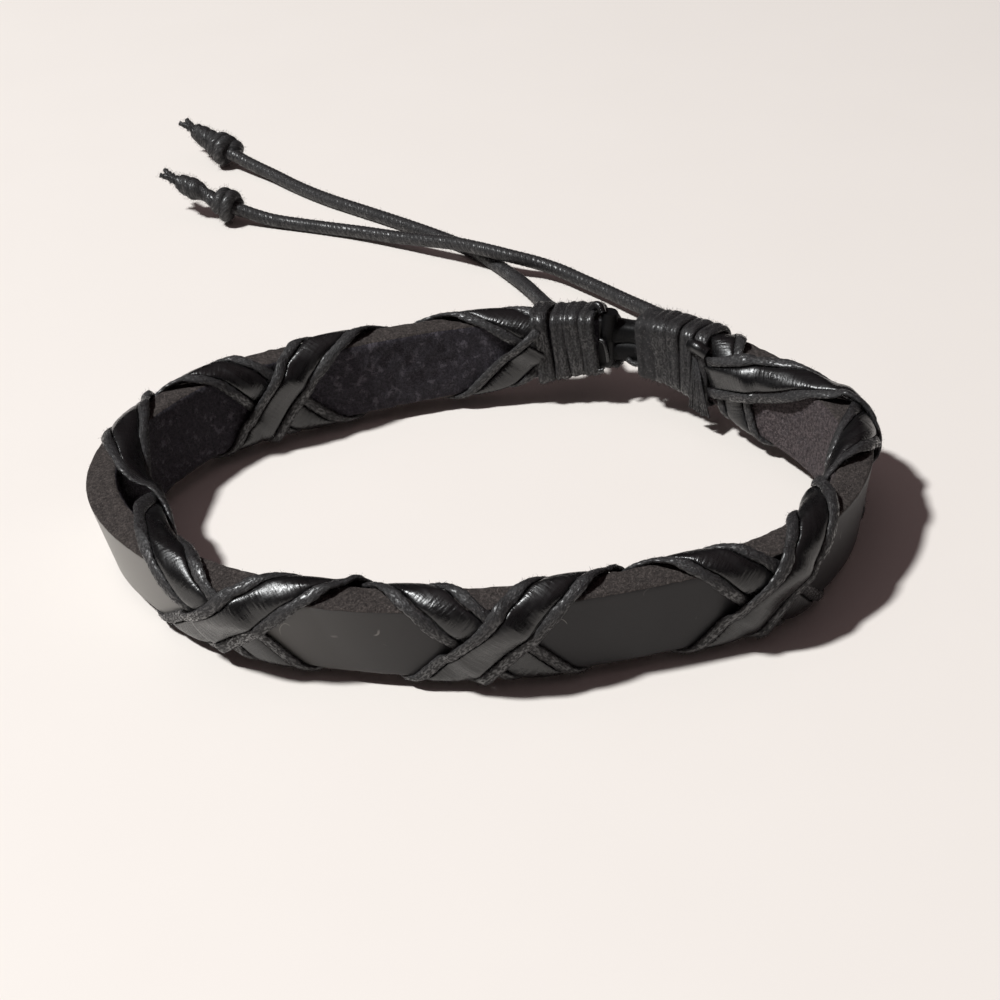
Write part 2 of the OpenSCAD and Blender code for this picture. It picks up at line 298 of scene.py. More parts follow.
def store(wiring, geometry, name, kind, value):
    node, settings = "GeometryNodeStoreNamedAttribute", {"data_type": kind, "domain": "POINT"}
    return wiring.node(node, settings, Geometry=geometry, Name=name, Value=value)


def stored(wiring, name, kind="FLOAT"):
    node, settings = "GeometryNodeInputNamedAttribute", {"data_type": kind}
    return wiring.node(node, settings, out="Attribute", Name=name)


w, taken = new_tree("laid_cord", Diameter="Float", Plies="Float", Pitch="Float",
                    Groove="Float", Sides="Int", Material="Material")
along = w.node("GeometryNodeSplineParameter", out="Length")
path = store(w, taken["Geometry"], "along", "FLOAT", along)
turn = along * (2 * math.pi / taken["Pitch"])
path = w.node("GeometryNodeSetCurveTilt", Curve=path, Tilt=turn)
angle = w.node("GeometryNodeSplineParameter", out="Factor") * (2 * math.pi)
wave = (angle * taken["Plies"]).math("COSINE")
hollow = (wave * 0.5 + 0.5) ** 3.0
reach = taken["Diameter"] * 0.5 * (1.0 - taken["Groove"] * hollow)
spot = w.node("GeometryNodeInputPosition")
spot = w.node("ShaderNodeVectorMath", {"operation": "SCALE"}, {0: spot}, Scale=reach)
kind = "GeometryNodeCurvePrimitiveCircle"
ring = w.node(kind, out="Curve", Resolution=taken["Sides"], Radius=1.0)
ring = w.node("GeometryNodeSetPosition", Geometry=ring, Position=spot)
ring = store(w, ring, "across", "FLOAT_VECTOR", w.node("GeometryNodeInputPosition"))
kind, swell = "GeometryNodeCurveToMesh", w.node("GeometryNodeInputRadius")
mesh = w.node(kind, Curve=path, Profile_Curve=ring, Scale=swell, Fill_Caps=True)
across = stored(w, "across", "FLOAT_VECTOR")
x, y = w.node("ShaderNodeSeparateXYZ", out=("X", "Y"), Vector=across)
own = w.node("ShaderNodeCombineXYZ", X=x, Y=y, Z=stored(w, "along"))
mesh = store(w, mesh, "own", "FLOAT_VECTOR", own)
mesh = store(w, mesh, "fuzz", "FLOAT", 1.0)
mesh = w.node("GeometryNodeSetShadeSmooth", Geometry=mesh, Shade_Smooth=True)
LAID_CORD = end_tree(w, mesh, taken["Material"])
print("tree:", LAID_CORD.name)

# %% [markdown]
# Worn cord and cut leather are never clean: short fibres stand out from them. A second
# tree scatters bent hairs where a surface's fuzz attribute is above zero, each leaning its
# own way. The seed is fixed, so that every run gives the same hairs.

# %% Scatter loose fibres with a geometry tree
w, taken = new_tree("loose_fibres", Density="Float", Length="Float", Thickness="Float",
                    Seed="Int", Material="Material")
surface, length, seed = taken["Geometry"], taken["Length"], taken["Seed"]
points, rotation = w.node(
    "GeometryNodeDistributePointsOnFaces", out=("Points", "Rotation"), Mesh=surface,
    Density=taken["Density"] * stored(w, "fuzz"), Seed=seed)
settings, low, high = {"data_type": "FLOAT_VECTOR"}, (-1.2, -1.2, 0.0), (1.2, 1.2, 6.28)
lean = w.node("FunctionNodeRandomValue", settings, Min=low, Max=high, Seed=seed)
lean = w.node("FunctionNodeEulerToRotation", Euler=lean)
settings = {"rotation_space": "LOCAL"}
rotation = w.node("FunctionNodeRotateRotation", settings, Rotation=rotation, Rotate_By=lean)
mid = w.node("ShaderNodeCombineXYZ", Z=length * 0.6)
tip = w.node("ShaderNodeCombineXYZ", X=length * 0.6, Z=length * 0.8)
kind = "GeometryNodeCurveQuadraticBezier"
line = w.node(kind, Resolution=3, Start=(0, 0, 0), Middle=mid, End=tip)
kind = "GeometryNodeCurvePrimitiveCircle"
ring = w.node(kind, out="Curve", Resolution=3, Radius=taken["Thickness"])
hair = w.node("GeometryNodeCurveToMesh", Curve=line, Profile_Curve=ring, Fill_Caps=True)
settings, sizes = {"data_type": "FLOAT"}, {2: 0.35, 3: 1.0}
size = w.node("FunctionNodeRandomValue", settings, sizes, 1, Seed=seed)
kind = "GeometryNodeInstanceOnPoints"
hairs = w.node(kind, Points=points, Instance=hair, Rotation=rotation, Scale=size)
hairs = w.node("GeometryNodeRealizeInstances", Geometry=hairs)
hairs = w.node("GeometryNodeSetMaterial", Geometry=hairs, Material=taken["Material"])
LOOSE_FIBRES = end_tree(w, w.node("GeometryNodeJoinGeometry", Geometry=[hairs, surface]))
print("tree:", LOOSE_FIBRES.name)

# %% [markdown]
# A tree's result is turned into a plain mesh at once, so that pieces can be joined,
# measured and exported as they are. A few thin hairs on every square millimetre are enough
# to soften an outline.


# %% Turn a tree's result into a plain mesh
def count_faces(what, *pieces):
    print(what, *(len(piece.data.polygons) for piece in pieces), "faces")


def grown(start, tree, name, **inputs):
    """The plain mesh object that a tree makes of an object, which is then removed."""
    modifier = start.modifiers.new("tree", "NODES")
    modifier.node_group = tree
    for item in tree.interface.items_tree:
        if item.in_out == "INPUT" and item.name in inputs:
            modifier[item.identifier] = inputs[item.name]
    bpy.context.view_layer.update()
    seen = start.evaluated_get(bpy.context.evaluated_depsgraph_get())
    made = add_object(name, bpy.data.meshes.new_from_object(seen))
    bpy.data.objects.remove(start)
    return made


def with_fibres(piece, density, length, seed, thickness=0.012):
    """The same piece with loose fibres: density a square millimetre, length in millimetres."""
    name = piece.name
    piece.name = name + "_bare"
    return grown(
        piece, LOOSE_FIBRES, name, Density=density / MM**2, Length=length * MM,
        Thickness=thickness * MM, Seed=seed, Material=FIBRE,
    )


def joined(name, pieces):
    """Several meshes as one object."""
    with bpy.context.temp_override(
        active_object=pieces[0], selected_editable_objects=pieces, object=pieces[0]
    ):
        bpy.ops.object.join()
    pieces[0].name = name
    return pieces[0]


print("plain meshes ready")

# %% [markdown]
# A loose cord lies in smooth bends, so a few rows of points say its route. A spline runs
# through every row, which makes the rows easy to read off a picture, and even steps along
# it let the plies turn evenly.


# %% Lay a cord along a route
def spline(a, b, c, d, t):
    """The way from b to c at t from 0 to 1, bending with a before and d after."""
    return b + t / 2 * (c - a + t * (2*a - 5*b + 4*c - d + t * (3*(b - c) + d - a)))


def travelled(line):
    """How far along the line each of its points is."""
    return np.concatenate([[0], np.cumsum(np.linalg.norm(np.diff(line, axis=0), axis=1))])


def smooth_route(points, step):
    """A smooth line through rows of points, sampled at even steps."""
    points = np.asarray(points, float)
    before, after = 2 * points[0] - points[1], 2 * points[-1] - points[-2]
    rows = np.concatenate([[before], points, [after]])
    line = []
    for four in zip(rows, rows[1:], rows[2:], rows[3:]):
        line += [spline(*four, t) for t in np.linspace(0, 1, 24, endpoint=False)]
    line = np.array(line + [points[-1]])
    run = travelled(line)
    at = np.linspace(0, run[-1], max(2, int(round(run[-1] / step)) + 1))
    return np.stack([np.interp(at, run, line[:, k]) for k in range(line.shape[1])], -1)


def laid_cord(name, line, diameter, plies, pitch, groove, sides=18, swell=1, material=WAXED):
    """A laid cord along points in millimetres. swell widens it point by point."""
    curve = bpy.data.curves.new(name + "_path", "CURVE")
    curve.dimensions = "3D"
    path = curve.splines.new("POLY")
    path.points.add(len(line) - 1)
    spots = np.concatenate([line * MM, np.ones((len(line), 1))], 1)
    path.points.foreach_set("co", spots.ravel())
    path.points.foreach_set("radius", swell * np.ones(len(line)))
    return grown(
        add_object(name + "_path", curve), LAID_CORD, name, Diameter=diameter * MM,
        Plies=float(plies), Pitch=pitch * MM, Groove=groove, Sides=sides, Material=material,
    )


print("cords ready")

# %% [markdown]
# The two tails are free cords, so they come first. Their routes are the ones of the part's
# source: out of the binding, down to the surface, across each other and on to the knots.
# The right tail passes over the left one in a low hump.

# %% Lay the two tails
TAIL_D = 1.6
LEFT_TAIL = [
    [11.05, 27.45, 6.1], [10.85, 30.1, 5.4], [10.2, 32.9, 4.5], [9.1, 36.2, 3.5],
    [7.8, 39.6, 2.6], [6.6, 43.7, 1.9], [5.4, 47.6, 1.35], [3.8, 51.3, 1], [1.8, 55.1, 0.8],
    [-0.8, 58.9, 0.8], [-4.8, 63.1, 0.8], [-9.2, 67.2, 0.8], [-13.6, 71.1, 0.8],
    [-18, 75, 0.8], [-21.8, 79, 0.8], [-25.4, 83.1, 1], [-28.2, 85.7, 1.4],
    [-30.4, 87.6, 1.95],
]
RIGHT_TAIL = [
    [22.45, 22.75, 6.15], [23.2, 25.6, 5.5], [23.3, 28.6, 4.6], [22.8, 31.6, 3.6],
    [21.6, 34.5, 2.75], [20.1, 36.8, 2.1], [18.3, 39.5, 1.8], [16.4, 42.1, 1.6],
    [14.2, 45, 1.5], [11.9, 47.7, 1.5], [9.6, 50.2, 1.6], [7.1, 51.9, 1.9], [3.9, 53, 2.5],
    [0.9, 54.6, 2.75], [-2.2, 57, 2.5], [-5.5, 59.3, 2], [-9, 61.8, 1.4], [-13.8, 64.8, 1],
    [-19, 67.4, 0.8], [-24, 69.5, 0.9], [-26.4, 70.4, 1.3], [-28.4, 71.1, 1.85],
]


def make_tail(name, route, seed):
    line = smooth_route(route, 0.2)
    tail = laid_cord(name, line, TAIL_D, 3, pitch=2.1, groove=0.05)
    return with_fibres(tail, 3.0, 0.45, seed), line


left_tail, left_line = make_tail("left_tail_cord", LEFT_TAIL, 3)
right_tail, right_line = make_tail("right_tail_cord", RIGHT_TAIL, 4)
print("tails, mm:", *(round(travelled(x)[-1], 1) for x in (left_line, right_line)))

# %% [markdown]
# Each tail ends in a tight overhand knot, with a short frayed end beyond it. A tight knot
# hides its inside, so the path runs in through the middle, winds back over itself one and
# a half times and comes out again. The cut end opens into prongs and fine yarns.

# %% Tie the knots and fray the ends
KNOT_REACH = 2.0
LEFT_LOOSE = (138, 16, 6.5)
RIGHT_LOOSE = (151, 17, 8.5)
CUFF = 1.4
PRONGS, PRONG_D, PRONG_REACH = 2, 1.35, 2.9
FINE_YARNS, FINE_D, FINE_REACH = 7, (0.3, 0.5), (1.2, 2.2)
YARN_BEND = [(0, 0), (0.5, 0.25), (0.8, 0.7), (1, 1.1)]


def direction(heading, rise):
    heading, rise = math.radians(heading), math.radians(rise)
    flat = math.cos(rise)
    return np.array([flat * math.cos(heading), flat * math.sin(heading), math.sin(rise)])


def knot_path(wraps=1.5, radius=1.28, half=0.72):
    """The way of the cord through a knot whose tail arrives along +X."""
    steps = np.linspace(0, 1, 22)
    turn = 2 * math.pi * wraps * steps
    x = half * (1 - 2 * steps) + 0.28 * np.sin(turn)
    coil = np.stack([x, radius * np.cos(turn), radius * np.sin(turn)], 1)
    inward = [[-2.4, 0, 0], [-1.2, 0.1, 0], [0.3, 0.25, 0.1], [1.15, 0.6, 0.1]]
    outward = [[-1.0, -0.75, 0.3], [-0.4, -0.35, 0.1], [0.8, -0.2, 0], [1.9, 0, 0]]
    return np.concatenate([inward, coil, outward])


def tie_knot(name, line, heading, rise, length, stub_k, seed):
    """The free end goes out at a heading and a rise. stub_k says how it swells."""
    end, way = line[-1], line[-1] - line[-6]
    way = way / np.linalg.norm(way)
    side = np.cross([0, 0, 1], way)
    side /= np.linalg.norm(side)
    over = np.cross(way, side)
    middle = end + KNOT_REACH * way
    out = direction(heading, rise)
    stub = [middle + out * k for k in np.linspace(2.6, length - CUFF, 4)]
    path = np.concatenate([middle + knot_path() @ np.stack([way, side, over]), stub])
    route = smooth_route(path, 0.16)
    beyond = (route - middle) @ out / (length - CUFF)
    last = np.arange(len(route)) > len(route) * 0.7
    swell = np.where(last, np.interp(beyond, np.linspace(0.3, 1, len(stub_k)), stub_k), 1)
    pieces = [laid_cord(name + "_body", route, TAIL_D, 3, 4.4, 0.1, swell=swell)]
    rng = np.random.default_rng(seed)
    start = route[-3]
    for number in range(PRONGS + FINE_YARNS):
        prong = number < PRONGS
        thick = PRONG_D if prong else rng.uniform(*FINE_D)
        reach = PRONG_REACH if prong else rng.uniform(*FINE_REACH)
        angle = 2 * math.pi * number / PRONGS if prong else rng.uniform(0, 6.28)
        lean = side * math.cos(angle) + over * math.sin(angle) * 0.6
        spread = rng.uniform(0.5, 0.9)
        rows = [start + out * reach * far + lean * wide * spread for far, wide in YARN_BEND]
        yarn = smooth_route(rows, 0.15)
        taper = np.linspace(1, 0.45, len(yarn))
        pieces.append(laid_cord(f"{name}_yarn{number}", yarn, thick, 2, 1.4, 0.3, 8, taper))
    return with_fibres(joined(name, pieces), 11.0, 0.6, seed)


left_knot = tie_knot("left_knot", left_line, *LEFT_LOOSE, [1.5, 1.75, 1.6, 1.3], 11)
right_knot = tie_knot("right_knot", right_line, *RIGHT_LOOSE, [1.05, 1.1, 1.7, 1.6, 1.2], 12)
count_faces("knots:", left_knot, right_knot)

# %% [markdown]
# Each tail can move freely, and the knot on its end is a hard lump that goes along with it.
# Each takes the place of its solid in the part and hangs from the part's only body.


# %% Put the cords in place of their solids
def dress(piece, node):
    """Let a piece stand for one solid of the part, in the part's only body."""
    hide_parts(node)
    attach(piece, "root")


def declare_tail(tail, knot, node):
    dress(tail, node)
    dress(knot, node + "_knot")


declare_tail(left_tail, left_knot, "left_tail")
declare_tail(right_tail, right_knot, "right_tail")

# %% [markdown]
# Everything else follows the strap, so its shape is written once. A closed curve through
# twelve rows gives the plan, and each row says how far the strap leans out there. A point
# is named by its run along the loop, its place round the girth and its height over the
# leather, and one function turns those three numbers into a place in space.

# %% Describe the loop
STRAP_H, STRAP_T, BEVEL = 8.0, 3.0, 0.5
HALF_H, HALF_T = STRAP_H / 2, STRAP_T / 2
STRAP_FOOT = 1.27
LOOP_CENTRE = (-0.62, 0.0)
LOOP = np.array([
    [0, 36.0, 8.5], [30, 31.2, 9.3], [60, 27.2, 6.9], [90, 26.0, 3.7], [120, 27.2, 3.1],
    [150, 33.0, 6.5], [180, 36.2, 11.4], [210, 31.9, 13.6], [240, 27.0, 11.6],
    [270, 25.3, 7.5], [300, 27.4, 5.0], [330, 33.7, 6.0],
])
ROW_RADIUS, ROW_FLARE = 1, 2


def around(column, angle):
    turn = np.asarray(angle, float) / 360 * len(LOOP)
    row = np.floor(turn).astype(int)
    a, b, c, d = (LOOP[(row + k) % len(LOOP), column] for k in (-1, 0, 1, 2))
    return spline(a, b, c, d, turn - row)


def loop_point(angle):
    radius, turn = around(ROW_RADIUS, angle), np.radians(angle)
    x = LOOP_CENTRE[0] + radius * np.cos(turn)
    y = LOOP_CENTRE[1] + radius * np.sin(turn)
    return np.stack([x, y], -1)


ANGLES = np.arange(0, 361, 2.0)
RUN = travelled(loop_point(ANGLES))
LOOP_LEN = RUN[-1]
STRAP_START, STRAP_END = 33.1, 224.3
CLOSURE_AT = (STRAP_START + STRAP_END - LOOP_LEN) / 2
END_TAPER, END_RISE, END_SHIFT, END_REACH = 0.33, 1.4, 2.2, 13


def hump(x):
    return np.exp(-x * x)


def near_closure(s):
    """1 in the middle of the closure, where the strap narrows, rises and stands out."""
    away = s - CLOSURE_AT
    return hump((away - LOOP_LEN * np.round(away / LOOP_LEN)) / END_REACH)


def beside_strap(s, n, w):
    """Run s along the loop, n outward from the middle of the leather, w up from it."""
    angle = np.interp(np.mod(s, LOOP_LEN), RUN, ANGLES)
    spot = loop_point(angle)
    along = loop_point(angle + 1) - loop_point(angle - 1)
    along = along / np.linalg.norm(along, axis=-1, keepdims=True)
    near = near_closure(s)
    flare = np.radians(around(ROW_FLARE, angle))
    depth = n - HALF_T
    level = w * (1 - END_TAPER * near)
    out = END_SHIFT * near + depth * np.cos(flare) + level * np.sin(flare)
    foot = STRAP_FOOT + END_RISE * near
    up = foot + (HALF_H + level) * np.cos(flare) - depth * np.sin(flare)
    x = spot[..., 0] + along[..., 1] * out
    y = spot[..., 1] - along[..., 0] * out
    return np.stack([x, y, up], -1)


print("way round, mm:", round(float(LOOP_LEN), 1))

# %% [markdown]
# A strand is easiest to plan on the leather rolled out flat, where it is a plain line. The
# girth is measured from the middle of the top edge, down the inner face and back up the
# outer one, and at the corners a little over the leather, where a strand's middle runs.

# %% Wrap flat coordinates round the leather
FLAT_T = HALF_T - BEVEL
FLAT_H = STRAP_H - 2 * BEVEL
STRAND_MIDDLE = 0.6
CORNER = math.pi / 2 * (BEVEL + STRAND_MIDDLE)
HALF_GIRTH = 2 * FLAT_T + 2 * CORNER + FLAT_H
GIRTH = 2 * HALF_GIRTH


def half_section(q, h):
    """From the middle of the top edge down the inner face to the middle of the bottom."""
    r = BEVEL + h
    face, low = FLAT_T + CORNER, FLAT_T + CORNER + FLAT_H
    top = math.pi / 2 * (q - FLAT_T) / CORNER
    base = math.pi / 2 * (q - low) / CORNER
    zones = [q < FLAT_T, q < face, q < low, q < low + CORNER]
    n = [-q, -FLAT_T - r * np.sin(top), -FLAT_T - r, -FLAT_T - r * np.cos(base)]
    w = [FLAT_H / 2 + r, FLAT_H / 2 + r * np.cos(top), FLAT_H / 2 - (q - face),
         -FLAT_H / 2 - r * np.sin(base)]
    return np.select(zones, n, q - HALF_GIRTH), np.select(zones, w, -FLAT_H / 2 - r)


def on_leather(s, u, h):
    s, u, h = np.broadcast_arrays(s, u, h)
    v = np.mod(u, GIRTH)
    inner = v < HALF_GIRTH
    n, w = half_section(np.where(inner, v, v - HALF_GIRTH), h)
    side = np.where(inner, 1, -1)
    return beside_strap(s, side * n, side * w)


print("girth, mm:", round(GIRTH, 2))

# %% [markdown]
# The strap has three surfaces. Its outer face is the smooth grain side, matte black with
# fine scratches and a pale painted sheen towards the left end, where the lamp's sheen falls.
# Its inner face is the rough flesh side, with painted light towards the right, where the
# lamp falls on it. Its edges are cut and show brown fibres. Attributes such as cut tell the
# finish where it is.

# %% Finish the strap leather
GRAIN_BLACKS = rgb(0.016, 0.0152, 0.0164), rgb(0.028, 0.0267, 0.0280)
# The first grey is painted sheen for the grain side towards the left end; the second is scratches.
PAINTED_SHEEN_GREY, SCRATCH_GREY = rgb(0.26, 0.251, 0.236), rgb(0.20, 0.19, 0.18)
SUEDE_GREYS = rgb(0.020, 0.0175, 0.0225), rgb(0.060, 0.053, 0.066)
TUFT_GREY = rgb(0.150, 0.136, 0.160)
# Browns of painted light on the flesh side towards the right, where the lamp falls on it.
PAINTED_LIGHT_BROWNS = rgb(0.030, 0.023, 0.024), rgb(0.165, 0.132, 0.132)
RAW_BROWNS = rgb(0.036, 0.030, 0.0285), rgb(0.110, 0.092, 0.085)
FLECK_BROWN, END_BLACK = rgb(0.175, 0.150, 0.138), rgb(0.004, 0.004, 0.0045)


def scratches(f):
    """Short thin curls: the level lines of one noise, kept where a second noise is high."""
    flat = f.attribute("flat", "Vector")
    wave = f.noise((330, 330, 0), 1.0, 0.4, flat)
    line = 1.0 - f.step((wave - 0.5).math("ABSOLUTE"), 0.003, 0.014)
    patch = f.step(f.noise((210, 210, 0), 1.0, 0.3, flat), 0.59, 0.63)
    return line * patch


f = Finish("strap_leather")
edge = f.noise(1800, 3.0, 0.6)
cut = f.step(f.attribute("cut") + (edge - 0.5) * 0.45, 0.42, 0.62)
flesh = f.step(f.attribute("flesh") + (edge - 0.5) * 0.3, 0.4, 0.6)
grain = f.blend(f.noise(160, 2.0, 0.5), *GRAIN_BLACKS)
# Painted sheen: the grain side is painted paler towards the left end, where the lamp's sheen
# falls.
bloom = f.attribute("bloom")
grain = f.blend(bloom * bloom, grain, PAINTED_SHEEN_GREY)
grain = f.blend(scratches(f) * 0.9, grain, SCRATCH_GREY)
nap = f.step(f.noise(3600, 4.0, 0.75), 0.32, 0.68)
tufts = f.step(f.noise(820, 5.0, 0.75), 0.53, 0.62)
suede = f.blend(tufts * 0.7, f.blend(nap, *SUEDE_GREYS), TUFT_GREY)
# Painted light: the flesh side is painted paler and browner towards the right, where the lamp
# falls on it.
painted_light_suede = f.blend(nap, *PAINTED_LIGHT_BROWNS)
suede = f.blend(f.attribute("worn") * 0.8, suede, painted_light_suede)
fleck = f.step(f.noise(2600, 3.0, 0.7), 0.55, 0.72)
raw = f.blend(fleck * 0.6, f.blend(nap, *RAW_BROWNS), FLECK_BROWN)
colour = f.blend(flesh, grain, suede)
colour = f.blend(cut, colour, raw)
colour = f.blend(f.attribute("tip"), colour, END_BLACK)
rough_side = (cut + flesh).math("MINIMUM", 1.0)
fine = f.noise(7000, 2.0, 0.5)
height = rough_side * (nap + tufts * 0.8) + (1.0 - rough_side) * fine * 0.06
STRAP_LEATHER = f.done(
    Base_Color=colour,
    Roughness=0.45 + rough_side * 0.45,
    Specular_IOR_Level=0.28,
    Normal=f.bump(height, 0.00018, 0.9),
)
print("finish:", STRAP_LEATHER.name)

# %% [markdown]
# The strap is one bar with rounded corners, swept along the loop. Its rings stand so close
# that the roughness of leather can be part of its shape: the cut edges swell and sink, the
# flesh side is uneven, and the ends are rounded off where they go into the bindings.

# %% Build the strap
STRAP_STEP, FACE_STEP = 0.32, 0.42
CORNER_ROUNDS = {1: 0.32, -1: 0.5}
EDGE_WAVE, NAP, FACE_WAVE = 0.03, 0.035, 0.006
END_ROUND, END_THINNER = 0.9, 0.22
# From which x, and over how many millimetres, painted sheen grows leftwards and painted light on
# the flesh side grows rightwards.
PAINTED_SHEEN_FROM, PAINTED_SHEEN_OVER = 2, 38
PAINTED_LIGHT_FROM, PAINTED_LIGHT_OVER = 17, 6


def strap_outline():
    """Points of the section, anticlockwise: outward n, upward w."""
    arcs = []
    for number, (side, level) in enumerate([(1, -1), (1, 1), (-1, 1), (-1, -1)]):
        r = CORNER_ROUNDS[side]
        centre = np.array([side * (HALF_T - r), level * (HALF_H - r)])
        arc = math.radians(-90 + 90 * number) + np.linspace(0, math.pi / 2, 5)
        arcs.append(centre + r * np.stack([np.cos(arc), np.sin(arc)], 1))
    outline = []
    for arc, after in zip(arcs, arcs[1:] + arcs[:1]):
        face = after[0] - arc[-1]
        count = int(np.linalg.norm(face) / FACE_STEP) + 1
        outline.extend(arc)
        outline.extend(arc[-1] + t * face for t in np.linspace(0, 1, count, endpoint=False)[1:])
    return np.array(outline)


def eased(x):
    """A soft step from 0 to 1."""
    x = np.clip(x, 0, 1)
    return x * x * (3 - 2 * x)


def rough(shape, rng, smooth):
    """Smooth random numbers over a ring mesh, which close up round the ring."""
    field = rng.standard_normal(shape)
    for axis, width in enumerate(smooth):
        kernel = np.hanning(2 * width + 3)[1:-1]
        kernel /= np.linalg.norm(kernel)
        pad = [(width, width) if a == axis else (0, 0) for a in (0, 1)]
        wide = np.pad(field, pad, "wrap")
        field = np.apply_along_axis(np.convolve, axis, wide, kernel, "valid")
    return field


def build_strap():
    outline = strap_outline()
    s = np.arange(STRAP_START, STRAP_END + 1e-6, STRAP_STEP)
    n, w = (np.broadcast_to(outline[:, k], (len(s), len(outline))).copy() for k in (0, 1))
    # 1 on the cut edges, on the flesh side and at the two ends, and 0 elsewhere.
    cut = np.clip((np.abs(w) - (HALF_H - 0.3)) / 0.25, 0, 1)
    flesh = np.clip((-n - (HALF_T - 0.45)) / 0.4, 0, 1)
    inside = np.minimum(s - STRAP_START, STRAP_END - s)[:, None]
    tip = 1 - eased((inside - 1.2) / 0.8)
    cut, flesh = cut * (1 - tip), flesh * (1 - tip)
    rng = np.random.default_rng(5)
    coarse = rough(n.shape, rng, (9, 3))
    fine = rough(n.shape, rng, (1, 1))
    n = n * (1 + FACE_WAVE * coarse * cut) - NAP * fine * flesh
    w = w + np.sign(w) * cut * (EDGE_WAVE * coarse + NAP * fine)
    end = 1 - END_THINNER * np.clip(1 - inside / END_ROUND, 0, 1) ** 2
    rings = beside_strap(s[:, None], n * end, w * end)
    flat = own_places(s[:, None], w, n)
    # Painted sheen grows towards the left end of the loop, and painted light on the
    # flesh side towards the right one.
    bloom = np.clip((PAINTED_SHEEN_FROM - rings[..., 0]) / PAINTED_SHEEN_OVER, 0, 1)
    worn = np.clip((rings[..., 0] - PAINTED_LIGHT_FROM) / PAINTED_LIGHT_OVER, 0, 1)
    return skin("strap_leather", rings, STRAP_LEATHER, cut=cut, flesh=flesh, flat=flat,
                bloom=bloom, worn=worn, tip=np.broadcast_to(tip, n.shape),
                fuzz=np.maximum(cut, 0.8 * flesh))


strap = with_fibres(build_strap(), 2.2, 0.32, 21, 0.011)
dress(strap, "strap")
count_faces("strap:", strap)

# %% [markdown]
# Two sets of strands wind round the strap in opposite ways, each a flat thong between two
# cords. Each row of the table is half a turn on, and says at which run each set passes the
# middle of an edge. Between rows a set follows a smooth line over the flat leather.

# %% Lead the strands round the strap
WRAPS = np.array([
    [36, 31], [48.5, 46], [64, 64], [76, 77], [89.5, 91], [113, 115.5], [128.5, 128],
    [140, 140.5], [151.5, 152], [164.5, 165.5], [177.5, 177], [193, 193], [203, 210.5],
    [229, 217], [234, 230],
])
OVER, UNDER = 0, 1
CORD_W, CORD_T = 1.16, 0.62
THONG_W, THONG_T = 2.75, 0.5
SPACING = 2.01
GROUP_HALF = SPACING + CORD_W / 2
LEFT_AT, RIGHT_AT = 34.3, 216.8
LEFT_TURNS = 4
BINDING_W, BINDING_T = 1.6, 0.9
TURN_PITCH = BINDING_W + 0.06
TURN_LEAN = 0.7
STRANDS_FROM = LEFT_AT + LEFT_TURNS * TURN_PITCH
TURNS = np.linspace(0, len(WRAPS) - 1, 2801)


def centre_line(which):
    """Run, girth and the unit way across, at even steps along the middle of a set."""
    rows = WRAPS[:, which]
    row = np.clip(np.floor(TURNS).astype(int), 0, len(rows) - 2)
    pick = [rows[np.clip(row + k, 0, len(rows) - 1)] for k in (-1, 0, 1, 2)]
    s = spline(*pick, TURNS - row)
    u = TURNS * HALF_GIRTH if which == OVER else -(TURNS + 1) * HALF_GIRTH
    ds, du = np.gradient(s), np.gradient(u)
    size = np.hypot(ds, du)
    side = 1 if which == OVER else -1
    return s, u, side * du / size, -side * ds / size


print("strands run from", round(STRANDS_FROM, 1), "to", RIGHT_AT, "mm")

# %% [markdown]
# A strand doesn't lie flat everywhere. The over set is raised where it crosses the under
# set, by a little more than that set is thick. Both bow away from the leather on each side
# of the upper edge's corners, and stand off the hollow inner face at the tight left end.

# %% Raise the strands where they cross and bow
SINK, LIFT, RAMP, SPARE = -0.03, 0.62, 1.7, 0.35
BRIDGE, BRIDGE_AT, BRIDGE_REACH = 2.2, 102, 9
BOW, BOW_SPREAD, BOW_REACH, BOW_FADE = 0.75, 1.45, 7.5, 4
PINCH_RUN, PINCHED, FAR = 1.2, 0.45, 99.0
UNDER_LINE = centre_line(UNDER)


def from_under(s, u):
    """Distance over the unrolled leather to the middle of the under set."""
    line_s, line_u = UNDER_LINE[0][::6], UNDER_LINE[1][::6]
    nearest = np.full(s.shape, FAR)
    for a, b in zip(line_s, line_u):
        close = np.abs(s - a) < 8
        gap = np.mod(u[close] - b + HALF_GIRTH, GIRTH) - HALF_GIRTH
        nearest[close] = np.minimum(nearest[close], np.hypot(s[close] - a, gap))
    return nearest


def stand_off(s, u):
    """How far the strands stand off the hollow inner face at the tight left end."""
    part = np.clip((np.mod(u, GIRTH) - FLAT_T) / (HALF_GIRTH - 2 * FLAT_T), 0, 1)
    return BRIDGE * hump((s - BRIDGE_AT) / BRIDGE_REACH) * np.sin(np.pi * part) ** 2


def bow(u):
    """How far a strand bows away from the leather, to each side of the top edge's corners."""
    away = np.abs(np.mod(u + HALF_GIRTH, GIRTH) - HALF_GIRTH)
    corner = FLAT_T + CORNER / 2
    return BOW * (1 - hump((away - corner) / BOW_SPREAD)) * eased((BOW_REACH - away) / BOW_FADE)


def evenly(s, u, lines, step):
    """Even steps along the flat route s, u, and the values of the lines at them."""
    run = np.concatenate([[0], np.cumsum(np.hypot(np.diff(s), np.diff(u)))])
    at = np.linspace(0, run[-1], int(run[-1] / step))
    return at, [np.interp(at, run, x)[:, None] for x in lines]


